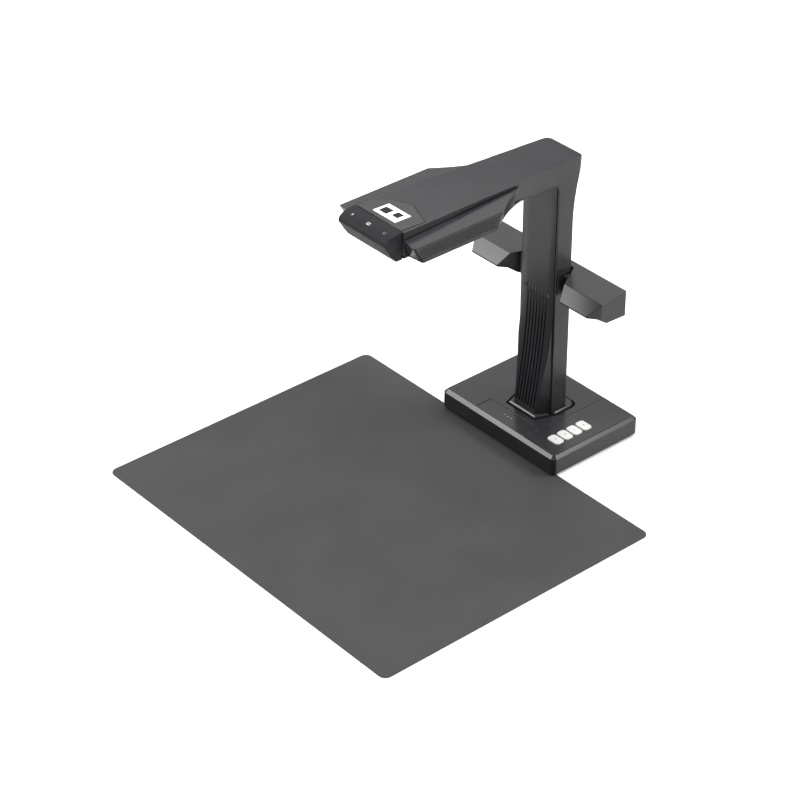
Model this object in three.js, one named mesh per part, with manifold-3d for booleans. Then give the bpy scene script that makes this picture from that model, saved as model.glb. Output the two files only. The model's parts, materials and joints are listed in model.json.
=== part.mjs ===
// Overhead book scanner: a weighted base with four keys, a flat column, a tapering arm with a wide
// camera head, two side lamps that toe in on vertical pins, and the dark pad that the book lies on.
// Millimetres, +Z up. +Y points to the back of the scanner, +X to the reader's right.
// The origin is on the table, under the middle of the pad and scanner together.

import * as THREE from 'three';
import { mergeVertices } from 'three/addons/utils/BufferGeometryUtils.js';
import Module from 'manifold-3d';

const wasm = await Module();
wasm.setup();

// Driving sizes
const gap = 0.3;
const wall = 2.4;
const pad = { half: 260, front: -273, back: 137, thick: 1.6, corner: 10 };
const base = { half: 102.4, front: 129, rear: 273, bottom: 3.6, top: 29.6, chamfer: 4.6, corner: 6.5 };
const seam = { x: 45.9, wide: 0.6 };
const column = { half: 30.8, front: 191.4, rear: 216, bottom: 12 };
const foot = { half: 18, front: 174.6, low: 34, fullAt: 125, high: 192 };
const arm = {
  rear: 230, rearTop: 380.5, rearHalf: 31.5, tip: -59.7, tipTop: 390, tipHalf: 43.2, under: 356.3,
};
const head = { half: 65.7, top: 380, rearTop: 71, rearLow: 61.4, frontTop: -64, frontLow: -50, tray: 2.5 };
const nose = { half: 41.3, front: -85 };
const lamp = {
  end: 111.6, nose: 174, rear: 229.5, pinX: 38, pinY: 206.5, skew: 0.535, heelX: 12, heelY: 220.4,
};
const key = { x: 74.3, first: 158.4, pitch: 15.65, wide: 19.8, deep: 13.4, rise: 1.3 };

// Heights and widths that follow the driving sizes
const armRun = arm.rear - arm.tip;
const topAt = (y) => arm.tipTop + (arm.rearTop - arm.tipTop) * (y - arm.tip) / armRun;
const halfAt = (y) => arm.tipHalf + (arm.rearHalf - arm.tipHalf) * (y - arm.tip) / armRun;
const trayTop = arm.under + head.tray;
const keyYs = [0, 1, 2, 3].map((i) => key.first + i * key.pitch);

// ---------------------------------------------------------------- solids

function solidOf(geometry) {
  geometry.deleteAttribute('normal');
  geometry.deleteAttribute('uv');
  const merged = mergeVertices(geometry, 1e-4);
  return new wasm.Manifold(new wasm.Mesh({
    numProp: 3,
    vertProperties: Float32Array.from(merged.attributes.position.array),
    triVerts: Uint32Array.from(merged.index.array),
  }));
}

function geometryOf(solid) {
  const mesh = solid.getMesh();
  const geometry = new THREE.BufferGeometry();
  geometry.setAttribute('position', new THREE.BufferAttribute(mesh.vertProperties, 3));
  geometry.setIndex(new THREE.BufferAttribute(mesh.triVerts, 1));
  geometry.computeVertexNormals();
  return geometry;
}

function block(x0, x1, y0, y1, z0, z1) {
  const box = new THREE.BoxGeometry(x1 - x0, y1 - y0, z1 - z0);
  box.translate((x0 + x1) / 2, (y0 + y1) / 2, (z0 + z1) / 2);
  return solidOf(box);
}

// An upright round bar between two heights.
function rod(x, y, z0, z1, radius, sides = 24) {
  const bar = new THREE.CylinderGeometry(radius, radius, z1 - z0, sides);
  bar.rotateX(Math.PI / 2);
  bar.translate(x, y, (z0 + z1) / 2);
  return solidOf(bar);
}

// A round bar along Y.
function barAlongY(x, z, y0, y1, radius, sides = 24) {
  const bar = new THREE.CylinderGeometry(radius, radius, y1 - y0, sides);
  bar.translate(x, (y0 + y1) / 2, z);
  return solidOf(bar);
}

// Joins rings that have the same number of points. across says which two coordinates the ends lie in.
function loft(rings, across = (p) => new THREE.Vector2(p[0], p[1])) {
  const count = rings[0].length;
  const positions = rings.flat(2);
  const triangles = [];
  for (let r = 0; r < rings.length - 1; r += 1) {
    for (let i = 0; i < count; i += 1) {
      const a = r * count + i;
      const b = r * count + (i + 1) % count;
      triangles.push(a, b, b + count, a, b + count, a + count);
    }
  }
  const addEnd = (ring, start, first) => {
    const outline = ring.map(across);
    const turned = first !== THREE.ShapeUtils.isClockWise(outline);
    for (const [a, b, c] of THREE.ShapeUtils.triangulateShape(outline, [])) {
      triangles.push(start + a, start + (turned ? c : b), start + (turned ? b : c));
    }
  };
  addEnd(rings[0], 0, true);
  addEnd(rings.at(-1), (rings.length - 1) * count, false);
  let volume = 0;
  const corner = (i) => new THREE.Vector3(...positions.slice(3 * i, 3 * i + 3));
  for (let t = 0; t < triangles.length; t += 3) {
    const [a, b, c] = [0, 1, 2].map((k) => corner(triangles[t + k]));
    volume += a.dot(b.cross(c));
  }
  if (volume < 0) triangles.reverse();
  return new wasm.Manifold(new wasm.Mesh({
    numProp: 3,
    vertProperties: Float32Array.from(positions),
    triVerts: Uint32Array.from(triangles),
  }));
}

const upright = (outline, z0, z1) => loft([z0, z1].map((z) => outline.map(([x, y]) => [x, y, z])));

// A side-view outline of [y, z] points, run along X.
function sideways(outline, x0, x1) {
  const ends = [x0, x1].map((x) => outline.map(([y, z]) => [x, y, z]));
  return loft(ends, (p) => new THREE.Vector2(p[1], p[2]));
}

// A slab that follows the slope of the arm's top, between two depths measured from it.
function topSlab(outline, low, high) {
  return loft([low, high].map((d) => outline.map(([x, y]) => [x, y, topAt(y) + d])));
}

function roundedRect(x0, x1, y0, y1, radius, steps = 5) {
  const points = [];
  const corners = [[x1, y0, -90], [x1, y1, 0], [x0, y1, 90], [x0, y0, 180]];
  for (const [x, y, start] of corners) {
    const cx = x === x1 ? x1 - radius : x0 + radius;
    const cy = y === y1 ? y1 - radius : y0 + radius;
    for (let i = 0; i <= steps; i += 1) {
      const angle = THREE.MathUtils.degToRad(start + 90 * i / steps);
      points.push([cx + radius * Math.cos(angle), cy + radius * Math.sin(angle)]);
    }
  }
  return points;
}

// Moves each edge of an outline inwards by distance, or outwards when it is negative.
function inset(outline, distance) {
  const points = outline.map(([a, b]) => new THREE.Vector2(a, b));
  const turn = THREE.ShapeUtils.isClockWise(points) ? -1 : 1;
  return points.map((point, i) => {
    const before = point.clone().sub(points.at(i - 1)).normalize();
    const after = points[(i + 1) % points.length].clone().sub(point).normalize();
    const inward = new THREE.Vector2(-before.y - after.y, before.x + after.x).multiplyScalar(turn);
    const stretch = distance / (1 + before.dot(after));
    return [point.x + inward.x * stretch, point.y + inward.y * stretch];
  });
}

const mirrorX = (solid) => solid.mirror([1, 0, 0]);

// ---------------------------------------------------------------- finishes

const finish = (color, roughness, metalness = 0) => (
  new THREE.MeshStandardMaterial({ color, roughness, metalness })
);
const satinBlack = finish('#4a4a4c', 0.4);
const deepBlack = finish('#1b1b1c', 0.45);
const mattDark = finish('#4f4f51', 0.8);
const whiteKey = finish('#f1f1ee', 0.35);
const diffuserWhite = finish('#f4f5f2', 0.5);
const glassBlack = finish('#0c0d0f', 0.05);
const screenLit = finish('#dfe3e6', 0.2);
const boardGreen = finish('#1f5a38', 0.5);
const steel = finish('#a9adb0', 0.3, 1);
const aluminium = finish('#c0c3c6', 0.35, 1);
const rubber = finish('#161616', 0.9);

const scanner = new THREE.Group();

function add(name, solid, material) {
  const mesh = new THREE.Mesh(geometryOf(solid), material);
  mesh.name = name;
  scanner.add(mesh);
}

// ---------------------------------------------------------------- base

function baseRing(in_, z) {
  const corner = Math.max(base.corner - in_, 2);
  return roundedRect(-base.half + in_, base.half - in_, base.front + in_, base.rear - in_, corner)
    .map(([x, y]) => [x, y, z]);
}

const shoulder = base.top - base.chamfer;
const baseOuter = loft([
  baseRing(1, base.bottom),
  baseRing(0, base.bottom + 1),
  baseRing(0, shoulder),
  baseRing(base.chamfer, base.top),
]);
const baseInner = loft([
  baseRing(wall, base.bottom - 1),
  baseRing(wall, shoulder - 1),
  baseRing(wall + base.chamfer - 1.4, base.top - wall),
]);
const shell = baseOuter.subtract(baseInner);

// The key cover is a panel let into the top, from the seam to the chamfer on its other three sides.
const keyPanel = (grow) => block(
  seam.x - grow, base.half - base.chamfer + grow,
  base.front + base.chamfer - grow, base.rear - base.chamfer + grow, 0, base.top + 1,
);

// Rear sockets, seen from behind: width, height above the board, and place along the back.
const boardTop = 13.6;
const sockets = {
  power: { x: -55.5, wide: 9, high: 11 },
  usbB: { x: -34, wide: 12, high: 10.8 },
  hdmi: { x: -7.5, wide: 15, high: 6.2 },
  usbA: { x: 21, wide: 13.2, high: 7 },
};
const socketDepth = 14;
const socketFace = base.rear - 0.4;
const rocker = { x: -78, y: 267, z: 16.5, halfWide: 11.5, halfHigh: 7, openWide: 9.8, openHigh: 5.1 };

function socketCut({ x, wide, high }) {
  const half = wide / 2 + gap;
  const top = boardTop + high + 2 * gap;
  return block(x - half, x + half, base.rear - wall - 4, base.rear + 1, boardTop, top);
}

// The collar that the column stands in, and the dark gap round it.
const collarOutline = [
  [-24, 170], [24, 170], [34, 198], [33.5, 223], [31, 229], [26, 231.5],
  [-26, 231.5], [-31, 229], [-33.5, 223], [-34, 198],
];
const collarGap = 2.6;
const screwSpots = [[-92, 165], [92, 165], [-92, 250], [92, 250]];
const boss = { radius: 3.6, hole: 1.8, holeTop: 13.5 };
const bossFor = ([x, y]) => rod(x, y, base.bottom + wall + gap, base.top - wall + 0.4, boss.radius)
  .subtract(rod(x, y, base.bottom, boss.holeTop, boss.hole));

let coverBlank = shell.add(bossFor(screwSpots[0])).add(bossFor(screwSpots[1]));
coverBlank = coverBlank.add(bossFor(screwSpots[2])).add(bossFor(screwSpots[3]));

let baseCover = coverBlank.subtract(keyPanel(seam.wide / 2));
baseCover = baseCover.subtract(upright(inset(collarOutline, -collarGap), 20, base.top + 1));
const labelRecess = block(-45, 36, base.front + base.chamfer + 1.2, 160, base.top - 0.7, base.top + 1);
baseCover = baseCover.subtract(labelRecess);
for (const socket of Object.values(sockets)) baseCover = baseCover.subtract(socketCut(socket));
baseCover = baseCover.subtract(block(
  rocker.x - rocker.halfWide - gap, rocker.x + rocker.halfWide + gap, base.rear - wall - 4, base.rear + 1,
  rocker.z - rocker.halfHigh - gap, rocker.z + rocker.halfHigh + gap,
));
add('base_cover', baseCover, satinBlack);

const keyRect = (y, grow, radius) => roundedRect(
  key.x - key.wide / 2 - grow, key.x + key.wide / 2 + grow,
  y - key.deep / 2 - grow, y + key.deep / 2 + grow, radius,
);
let keyCover = coverBlank.intersect(keyPanel(-seam.wide / 2));
for (const y of keyYs) keyCover = keyCover.subtract(upright(keyRect(y, 0.4, 4.4), 20, base.top + 1));
add('key_cover', keyCover, satinBlack);

const plateSide = wall + gap;
const plateRect = (z) => baseRing(plateSide, z);
let basePlate = loft([plateRect(base.bottom), plateRect(base.bottom + wall)]);
for (const [x, y] of screwSpots) {
  basePlate = basePlate.subtract(rod(x, y, 0, 10, 1.8)).subtract(rod(x, y, 0, base.bottom + 1.4, 3.4));
}
add('base_plate', basePlate, deepBlack);

const ballastLow = base.bottom + wall + gap;
const ballastThick = 4;
const ballast = block(-84, 84, 150, 234, ballastLow, ballastLow + ballastThick)
  .subtract(block(-38, 38, 166, 225, 0, 30));
add('ballast_plate', ballast, steel);

screwSpots.forEach(([x, y], i) => {
  const headTop = base.bottom + 1.1;
  const screw = rod(x, y, base.bottom + 0.1, headTop, 3.1).add(rod(x, y, headTop - 0.2, 13, 1.45));
  const slot = block(x - 2, x + 2, y - 0.4, y + 0.4, 0, base.bottom + 0.6);
  add(`base_screw_${i + 1}`, screw.subtract(slot).subtract(
    block(x - 0.4, x + 0.4, y - 2, y + 2, 0, base.bottom + 0.6),
  ), steel);
});

const footSpots = [[-84, 147], [84, 147], [-84, 259], [84, 259]];
footSpots.forEach(([x, y], i) => {
  const rings = [[0, 6.2], [0.7, 7], [base.bottom - gap, 7]];
  const footRing = ([z, radius]) => {
    const sides = 24;
    const at = (k) => 2 * Math.PI * k / sides;
    return Array.from({ length: sides }, (_, k) => [
      x + radius * Math.cos(at(k)), y + radius * Math.sin(at(k)), z,
    ]);
  };
  add(`foot_${i + 1}`, loft(rings.map(footRing)), rubber);
});

// Keys: a cap through the cover and a wider flange under it, over a board with four domes.
const flangeTop = base.top - wall - 0.4;
const flangeLow = flangeTop - 1.4;
keyYs.forEach((y, i) => {
  const cap = loft([
    keyRect(y, 0, 4).map(([x, v]) => [x, v, flangeTop - 0.2]),
    keyRect(y, 0, 4).map(([x, v]) => [x, v, base.top + key.rise - 0.7]),
    keyRect(y, -0.6, 3.4).map(([x, v]) => [x, v, base.top + key.rise]),
  ]);
  const flange = block(key.x - 11, key.x + 11, y - 7.3, y + 7.3, flangeLow, flangeTop);
  add(`key_${i + 1}`, cap.add(flange), whiteKey);
});
let keyBoard = block(60, 86.5, keyYs[0] - 8, keyYs[3] + 8, 19.6, 21.2);
for (const y of keyYs) keyBoard = keyBoard.add(rod(key.x, y, 21, flangeLow - 1.2, 3.2));
add('key_board', keyBoard, boardGreen);

add('main_board', block(-64, 40, 236, 268, boardTop - 1.6, boardTop), boardGreen);

function socketBody({ x, wide, high }) {
  return block(
    x - wide / 2, x + wide / 2, socketFace - socketDepth, socketFace, boardTop + gap, boardTop + gap + high,
  );
}
const socketMid = (high) => boardTop + gap + high / 2;

const power = sockets.power;
const powerHole = barAlongY(power.x, socketMid(power.high), socketFace - 11, socketFace + 1, 3.2);
const powerPin = barAlongY(power.x, socketMid(power.high), socketFace - 12, socketFace - 1.5, 1, 12);
add('power_jack', socketBody(power).subtract(powerHole).add(powerPin), deepBlack);

function hollowSocket(spec, innerWide, innerHigh, tongue) {
  const mid = socketMid(spec.high);
  const mouth = block(
    spec.x - innerWide / 2, spec.x + innerWide / 2, socketFace - 10, socketFace + 1,
    mid - innerHigh / 2, mid + innerHigh / 2,
  );
  const blade = block(
    spec.x - tongue.wide / 2, spec.x + tongue.wide / 2, socketFace - 11, socketFace - 1,
    mid + tongue.low, mid + tongue.high,
  );
  return socketBody(spec).subtract(mouth).add(blade);
}
add('usb_b_port', hollowSocket(sockets.usbB, 8.6, 7.8, { wide: 5.6, low: -1.6, high: 1.6 }), steel);
add('hdmi_port', hollowSocket(sockets.hdmi, 14, 4.6, { wide: 11.4, low: -0.7, high: 0.7 }), steel);
add('usb_a_port', hollowSocket(sockets.usbA, 12.2, 5.2, { wide: 11, low: 0.4, high: 2 }), steel);

const rockerBox = (halfWide, halfHigh, y0, y1) => block(
  rocker.x - halfWide, rocker.x + halfWide, y0, y1, rocker.z - halfHigh, rocker.z + halfHigh,
);
const rockerFrame = rockerBox(rocker.halfWide, rocker.halfHigh, 258.5, base.rear - 0.2)
  .subtract(rockerBox(rocker.openWide, rocker.openHigh, 260.5, base.rear + 1));
add('rocker_frame', rockerFrame, deepBlack);

// The rocker is drawn level and then tipped to its off position.
const rockerPlan = [[-8.9, 4.2], [-8.9, 0], [-4, -4.2], [4, -4.2], [8.9, 0], [8.9, 4.2], [0, 2.4]];
const rockerTilt = THREE.MathUtils.degToRad(-7);
const rockerOutline = rockerPlan.map(([x, y]) => [
  rocker.x + x * Math.cos(rockerTilt) - y * Math.sin(rockerTilt),
  rocker.y + x * Math.sin(rockerTilt) + y * Math.cos(rockerTilt),
]);
add('power_rocker', upright(rockerOutline, rocker.z - 4.8, rocker.z + 4.8), deepBlack);

// ---------------------------------------------------------------- column and arm

// The back of the stand is upright and then leans back in a slow curve up to the arm's top.
const leanFrom = 298;
const rearAt = (z) => {
  const up = Math.max(0, z - leanFrom) / (arm.rearTop - leanFrom);
  return column.rear + (arm.rear - column.rear) * up ** 1.8;
};
const innerCorner = 13;

function standProfile(back) {
  const points = [[arm.tip, arm.under]];
  for (let i = 0; i <= 6; i += 1) {
    const angle = Math.PI / 2 * (1 - i / 6);
    const y = column.front - innerCorner + innerCorner * Math.cos(angle);
    const z = arm.under - innerCorner + innerCorner * Math.sin(angle);
    points.push([y, z]);
  }
  points.push([column.front, column.bottom], [column.rear - back, column.bottom]);
  for (let i = 0; i <= 8; i += 1) {
    const z = leanFrom + (arm.rearTop - leanFrom) * i / 8;
    points.push([rearAt(z) - back, z]);
  }
  points.push([arm.tip, arm.tipTop]);
  return points;
}

// Cross-sections of the stand at one place along Y, drawn wide enough for column and arm together.
function crossSection(y, side, top) {
  const rearRound = 8;
  const past = Math.max(0, y - (arm.rear - rearRound));
  const trim = rearRound - Math.sqrt(rearRound ** 2 - past ** 2);
  const upper = halfAt(y) - side - trim;
  const along = THREE.MathUtils.clamp((134 - y) / (134 - arm.tip), 0, 1);
  const lower = column.half + (arm.tipHalf - 1.2 - column.half) * along - side - trim;
  const z = topAt(y) - top;
  return [[-lower, y, 5], [lower, y, 5], [lower, y, 345], [upper, y, z], [-upper, y, z], [-lower, y, 345]];
}
const xz = (p) => new THREE.Vector2(p[0], p[2]);
const rearSteps = [222, 224.5, 226.5, 228, 229.2, 229.9];
const standWidth = loft([arm.tip, 40, 134, 175, ...rearSteps].map((y) => crossSection(y, 0, -10)), xz);
const standInside = loft([arm.tip - 1, 40, 134, 175, 222, 229].map((y) => crossSection(y, 2.5, 2.5)), xz);

const standBlank = sideways(standProfile(0), -60, 60).intersect(standWidth);
const insideProfile = [
  [arm.tip - 1, 0], [column.rear - 2.5, 0],
  ...Array.from({ length: 9 }, (_, i) => {
    const z = leanFrom + (arm.rearTop - leanFrom) * i / 8;
    return [rearAt(z) - 2.5, z];
  }),
  [arm.tip - 1, 400],
];
const hollow = standInside.intersect(sideways(insideProfile, -60, 60));

const glassOutline = [[-38, -59], [38, -59], [38.4, -24.5], [0, -9], [-38.4, -24.5]];
const lcdRect = (grow) => roundedRect(-20.5 - grow, 20.5 + grow, -53.5 - grow, -27 + grow, 1, 2);
let casing = standBlank.subtract(hollow);
casing = casing.subtract(block(-70, 70, arm.tip - 1, 140.5, 340, trayTop + gap));
casing = casing.subtract(topSlab(glassOutline, -1.3, 8));
casing = casing.subtract(topSlab(lcdRect(gap), -8, 8));
add('stand_casing', casing, satinBlack);
add('display_glass', topSlab(inset(glassOutline, gap), -1, 0), glassBlack);
add('lcd_module', topSlab(lcdRect(0), -4.6, -1.3), screenLit);

// Column front panel: flat above, swelling forward into the foot, with seven grooves.
const panelSide = 28;
const rise01 = (z, low, high) => THREE.MathUtils.clamp((z - low) / (high - low), 0, 1);
const panelFlat = 190.6;
const panelFront = (z) => {
  const swell = (1 - rise01(z, foot.low, foot.high)) ** 1.7;
  return foot.front + (panelFlat - foot.front) * (1 - swell);
};
const panelFace = (z) => foot.half + (27.4 - foot.half) * rise01(z, foot.low, foot.fullAt);
const panelEdge = (z) => 191 + 1.2 * rise01(z, foot.low, foot.high);
const panelTop = 355.4;
const swellLevels = [45, 56, 68, 82, 97, 112, foot.fullAt, 150, 170, foot.high];
const panelLevels = [column.bottom, foot.low, ...swellLevels, panelTop];
function panelRing(z, thin) {
  const side = panelSide - thin;
  const face = Math.min(panelFace(z) - thin * 0.5, side - 0.4);
  const edge = panelEdge(z) + thin * 0.6;
  const front = panelFront(z) + thin;
  const back = 196.5 + thin;
  return [
    [-side, back, z], [-side, edge, z], [-face, front, z],
    [face, front, z], [side, edge, z], [side, back, z],
  ];
}
const voidLevels = [column.bottom - 1, ...panelLevels.slice(1, -1), panelTop - 3];
const panelVoid = loft(voidLevels.map((z) => panelRing(z, 2.2)));
let frontPanel = loft(panelLevels.map((z) => panelRing(z, 0))).subtract(panelVoid);
const grooveTop = 200;
const grooveLevels = [foot.low + 3, ...swellLevels, grooveTop];
for (let i = -3; i <= 3; i += 1) {
  const groove = loft(grooveLevels.map((z) => {
    const spread = 5.1 + 0.2 * rise01(z, foot.low, grooveTop);
    const depth = 1.3 * (1 - rise01(z, 150, grooveTop + 3));
    const x = i * spread;
    const y = panelFront(z);
    return [[x - 0.9, y - 1, z], [x + 0.9, y - 1, z], [x + 0.9, y + depth, z], [x - 0.9, y + depth, z]];
  }));
  frontPanel = frontPanel.subtract(groove);
}
add('column_front_panel', frontPanel, satinBlack);

// The collar round the column's foot.
const columnPlan = [
  [-column.half, column.rear], [-column.half, column.front], [-foot.half, foot.front],
  [foot.half, foot.front], [column.half, column.front], [column.half, column.rear],
];
const collarTop = 32.6;
const collar = loft([
  collarOutline.map(([x, y]) => [x, y, ballastLow + ballastThick + gap]),
  collarOutline.map(([x, y]) => [x, y, collarTop - 2]),
  inset(collarOutline, 2).map(([x, y]) => [x, y, collarTop]),
]).add(upright(inset(collarOutline, -5), 19, 23.4)).subtract(upright(inset(columnPlan, -0.5), 0, 40));
add('column_socket', collar, satinBlack);

// The steel spine inside the column and the aluminium beam inside the arm.
const spine = block(-24, 24, 198, 211, ballastLow, 358)
  .subtract(block(-22.4, 22.4, 190, 209.4, ballastLow + 3, 400))
  .add(block(-27.5, 27.5, 197.5, 211.5, ballastLow, ballastLow + 3));
add('column_spine', spine, steel);
const beam = block(-21, 21, -20, 209, 360.5, 374)
  .subtract(block(-19, 19, -30, 220, 362.5, 400))
  .subtract(block(-30, 30, -30, 22, 364, 400));
add('arm_beam', beam, aluminium);

// ---------------------------------------------------------------- camera head

// The plan of the head: straight sides, and a flare at the back that runs into the arm.
function flarePoint(t, level, inward) {
  const low = [[32, 134], [33, 106], [head.half - 1, head.rearLow]];
  const high = [[32, 142], [34, 114.5], [head.half, head.rearTop]];
  const mix = (i) => [0, 1].map((k) => low[i][k] + (high[i][k] - low[i][k]) * level);
  const [p, q, r] = [mix(0), mix(1), mix(2)];
  const at = (k) => (1 - t) ** 2 * p[k] + 2 * t * (1 - t) * q[k] + t ** 2 * r[k];
  const slope = (k) => 2 * (1 - t) * (q[k] - p[k]) + 2 * t * (r[k] - q[k]);
  const size = Math.hypot(slope(0), slope(1));
  return [at(0) + inward * slope(1) / size, at(1) - inward * slope(0) / size];
}

function headOutline(level, inward) {
  const front = head.frontLow + (head.frontTop - head.frontLow) * level + inward;
  const inner = -52 - 9 * level + inward;
  const side = head.half - 1 + level - inward;
  const right = [[43.6, inner], [side - 2, front], [side, front + 2]];
  for (let i = 9; i >= 0; i -= 1) {
    const [x, y] = flarePoint(i / 9, level, inward);
    right.push([Math.min(x, side), y]);
  }
  return [...right, ...right.map(([x, y]) => [-x, y]).reverse()];
}
const headSolid = (inward, z0, z1) => loft([z0, z1].map((z) => {
  const level = (z - arm.under) / (head.top - arm.under);
  return headOutline(level, inward).map(([x, y]) => [x, y, z]);
}));

const cameraY = -34;
let tray = headSolid(0, arm.under, trayTop).add(block(-43.2, 43.2, arm.tip, -40, arm.under, trayTop));
tray = tray.add(block(-27.8, 27.8, 120, 193, arm.under + 1.2, trayTop + 1.2));
tray = tray.subtract(rod(0, cameraY, 350, 365, 12.3, 36));
const lightRect = (grow) => roundedRect(-36 - grow, 36 + grow, 2 - grow, 14 + grow, 3, 3);
const laserRect = (grow) => roundedRect(-20 - grow, 20 + grow, 28 - grow, 36 + grow, 2, 3);
tray = tray.subtract(upright(lightRect(gap), 350, 365)).subtract(upright(laserRect(gap), 350, 365));
add('head_tray', tray, satinBlack);

// Each wing is a shell closed by the tray below and by a perforated plate on its outer side.
const wingLow = trayTop + gap;
const besideArm = (clear) => loft([-80, 150].map((y) => {
  const half = halfAt(y) + clear;
  return [[-half, y, 340], [half, y, 340], [half, y, 400], [-half, y, 400]];
}), xz);
const rightHalf = block(0, 100, -100, 200, 300, 420);
const wingBlank = headSolid(0, wingLow, head.top).subtract(besideArm(0.4)).intersect(rightHalf);
const wingVoid = headSolid(2.2, wingLow - 1, head.top - 2.2).subtract(besideArm(2.4)).intersect(rightHalf);
const grilleSpan = (grow) => sideways([
  [head.frontLow + 0.5 - grow, wingLow + 1.8 - grow], [head.rearLow - 1.5 + grow, wingLow + 1.8 - grow],
  [head.rearTop - 4 + grow, head.top - 2.2 + grow], [head.frontTop + 5 - grow, head.top - 2.2 + grow],
], 60, 80);
const wing = wingBlank.subtract(wingVoid).subtract(grilleSpan(gap));
const grille = headSolid(0.3, wingLow, head.top).subtract(headSolid(1.9, wingLow - 1, head.top + 1))
  .intersect(grilleSpan(0));
add('wing_shell_right', wing, satinBlack);
add('wing_shell_left', mirrorX(wing), satinBlack);
add('wing_grille_right', grille, mattDark);
add('wing_grille_left', mirrorX(grille), mattDark);

// The nose that carries the three touch marks.
const noseRear = arm.tip - gap;
const noseProfile = [
  [noseRear, 354.8], [-68.5, 354.8], [-71.4, 357], [-76, 363.6], [nose.front, 378.4],
  [-84.6, 381.2], [-82.4, 384.6], [-78, 387.6], [-72, 389.4], [noseRear, arm.tipTop],
];
const noseInside = inset(noseProfile, 2.3).map(([y, z], i, all) => (
  i === 0 || i === all.length - 1 ? [noseRear + 1, z] : [y, z]
));
const nosePanel = sideways(noseProfile, -nose.half, nose.half)
  .subtract(sideways(noseInside, -nose.half + 2.3, nose.half - 2.3));
add('nose_panel', nosePanel, satinBlack);
add('touch_board', block(-34, 34, -77, -63, 381.6, 383.2), boardGreen);

// Camera, light bar and laser window in the tray.
const barrelLow = arm.under + 0.6;
const barrelTop = 374;
const barrel = rod(0, cameraY, barrelLow, barrelTop, 12, 36)
  .subtract(rod(0, cameraY, barrelLow - 1, barrelTop - 2, 9.2, 36));
add('camera_barrel', barrel, deepBlack);
const lensPoints = [[0, 2.2], [3, 2], [6, 1.3], [8.9, 0], [8.9, 5.4], [0, 5.4]];
const lensGeometry = new THREE.LatheGeometry(lensPoints.map(([r, z]) => new THREE.Vector2(r, z - 2)), 36);
lensGeometry.rotateX(Math.PI / 2);
lensGeometry.translate(0, cameraY, 361);
add('camera_lens', solidOf(lensGeometry), glassBlack);
add('camera_board', block(-19, 19, -54, -21, 374.3, 375.9), boardGreen);
add('light_lens', upright(lightRect(0), arm.under + 0.2, trayTop + 0.2), diffuserWhite);
add('light_board', block(-33, 33, 1, 15, 359.1, 360.2), boardGreen);
add('laser_window', upright(laserRect(0), arm.under + 0.4, trayTop), glassBlack);

// ---------------------------------------------------------------- side lamps

const lampProfile = [
  [lamp.rear, 197.5], [lamp.rear, 232], [189, 228], [lamp.nose, 212.6], [lamp.nose + 0.6, 210.4],
  [186, 207.8], [197.4, 199.6], [199.4, 198.8],
];
const skewX = (y, away) => 32.3 + (217 - y) * lamp.skew + away;
const lampPlan = [[skewX(170, 0), 170], [98.2, 170], [lamp.end, 189], [lamp.end, 231], [skewX(231, 0), 231]];
// The heel closes the lamp's end and runs in behind the column.
const capThick = 2.9;
const heelPlan = [
  [skewX(lamp.heelY, capThick), lamp.heelY], [skewX(231, capThick), 231], [lamp.heelX, 231],
  [lamp.heelX, lamp.heelY],
];
const lampCore = [
  [lamp.rear, 197.5], [lamp.rear, 232], [189, 228], [lamp.nose + 0.2, 211.6], [186, 207.8], [198.4, 198.9],
];
const lampInner = inset(lampCore, 2.2);
const lampPlanInner = [
  [skewX(160, -20), 160], [97, 172], [lamp.end - 2.2, 189.6], [lamp.end - 2.2, 240], [skewX(240, -20), 240],
];
const diffuserSeat = (grow) => {
  const [a, b] = [[187.4, 206.8], [196.6, 200.2]];
  const along = new THREE.Vector2(b[0] - a[0], b[1] - a[1]).normalize();
  const out = new THREE.Vector2(along.y, -along.x);
  const point = (from, side, depth) => [
    from[0] + along.x * side * grow + out.x * depth, from[1] + along.y * side * grow + out.y * depth,
  ];
  return [point(a, -1, 3.4), point(b, 1, 3.4), point(b, 1, -3.4), point(a, -1, -3.4)];
};
const lampBox = sideways(lampProfile, 0, 130);
let lampShell = lampBox.intersect(upright(lampPlan, 150, 260));
lampShell = lampShell.subtract(sideways(lampInner, 0, 130).intersect(upright(lampPlanInner, 150, 260)));
lampShell = lampShell.subtract(sideways(diffuserSeat(gap), 52, 106));
// Room for the bracket's ears, which stays under the lamp's top skin and over its bottom.
const pinPocket = rod(lamp.pinX, lamp.pinY, 201.8, 228, 6, 32);
lampShell = lampShell.subtract(pinPocket).add(lampBox.intersect(upright(heelPlan, 150, 260)));

const lampInnerLoose = sideways(inset(lampCore, 2.2 + gap), 0, 130);
const capRear = lamp.heelY - gap;
const capZone = upright([
  [skewX(170, 0.4), 170], [skewX(170, capThick), 170],
  [skewX(capRear, capThick), capRear], [skewX(capRear, 0.4), capRear],
], 150, 260);
const lugLow = 207.6;
const lugHigh = 222.4;
let endCap = lampInnerLoose.intersect(capZone);
endCap = endCap.subtract(rod(lamp.pinX, lamp.pinY, 190, lugLow, 6, 32));
endCap = endCap.subtract(rod(lamp.pinX, lamp.pinY, lugHigh, 240, 6, 32));
endCap = endCap.add(rod(lamp.pinX, lamp.pinY, lugLow, lugHigh, 4.3, 32));
endCap = endCap.subtract(rod(lamp.pinX, lamp.pinY, 190, 240, 1.8));

const diffuser = sideways(diffuserSeat(0), 52.4, 105.6).intersect(sideways(inset(lampCore, -0.4), 0, 130))
  .subtract(sideways(inset(lampCore, 1.5), 0, 130));
const ledSeat = [[191.6, 213.4], [203, 205.2], [204, 206.6], [192.6, 214.8]];
const ledBoard = sideways(ledSeat, 56, 102);

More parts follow.
